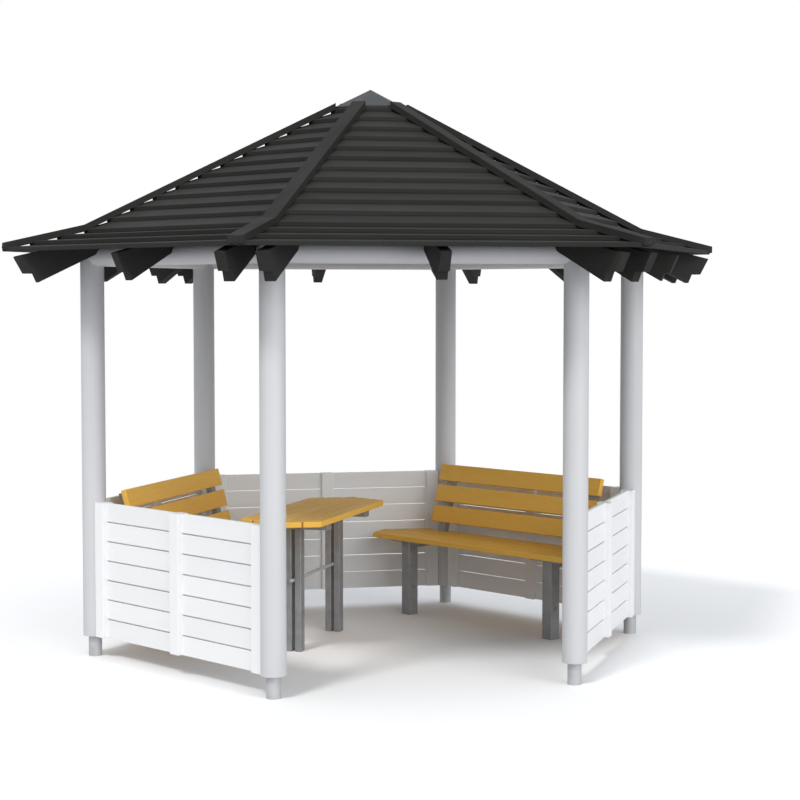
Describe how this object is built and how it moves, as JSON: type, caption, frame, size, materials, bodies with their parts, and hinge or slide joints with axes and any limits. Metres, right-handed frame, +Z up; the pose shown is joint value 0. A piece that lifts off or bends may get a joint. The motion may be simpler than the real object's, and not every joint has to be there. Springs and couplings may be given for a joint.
{
  "type": "garden gazebo",
  "caption": "Hexagonal open garden gazebo with a black bell-cast boarded roof on round posts, low boarded panels, two slatted benches and a slatted table.",
  "frame": {"origin": "on the ground under the apex, at the centre of the six posts", "axes": "+Z up, -Y out through the open side"},
  "size_m": [3.926, 3.4376, 3.0231],
  "materials": {
    "painted_post": "satin paint, light grey",
    "painted_panel": "satin paint, white",
    "roof_board": "black stained timber",
    "rafter": "black stained timber",
    "slat_wood": "oiled honey-coloured hardwood",
    "steel": "galvanised",
    "cap_sheet": "matt blue-grey sheet"
  },
  "bodies": {
    "root": {"left_post": "painted_post", "front_left_post": "painted_post", "front_right_post": "painted_post", "right_post": "painted_post", "back_right_post": "painted_post", "back_left_post": "painted_post", "post_feet": "steel", "front_ring_beam": "painted_post", "front_right_ring_beam": "painted_post", "back_right_ring_beam": "painted_post", "back_ring_beam": "painted_post", "back_left_ring_beam": "painted_post", "front_left_ring_beam": "painted_post", "front_roof": "roof_board", "front_right_roof": "roof_board", "back_right_roof": "roof_board", "back_roof": "roof_board", "back_left_roof": "roof_board", "front_left_roof": "roof_board", "left_rafter_pair": "rafter", "front_left_rafter_pair": "rafter", "front_right_rafter_pair": "rafter", "right_rafter_pair": "rafter", "back_right_rafter_pair": "rafter", "back_left_rafter_pair": "rafter", "middle_rafters": "rafter", "hip_battens": "roof_board", "apex_cap": "cap_sheet", "front_right_panel": "painted_panel", "back_right_panel": "painted_panel", "back_panel": "painted_panel", "back_left_panel": "painted_panel", "front_left_panel": "painted_panel", "back_left_bench_seat": "slat_wood", "back_left_bench_back": "slat_wood", "back_left_bench_frame": "steel", "back_right_bench_seat": "slat_wood", "back_right_bench_back": "slat_wood", "back_right_bench_frame": "steel", "table_top": "slat_wood", "table_frame": "steel"}
  },
  "joints": []
}
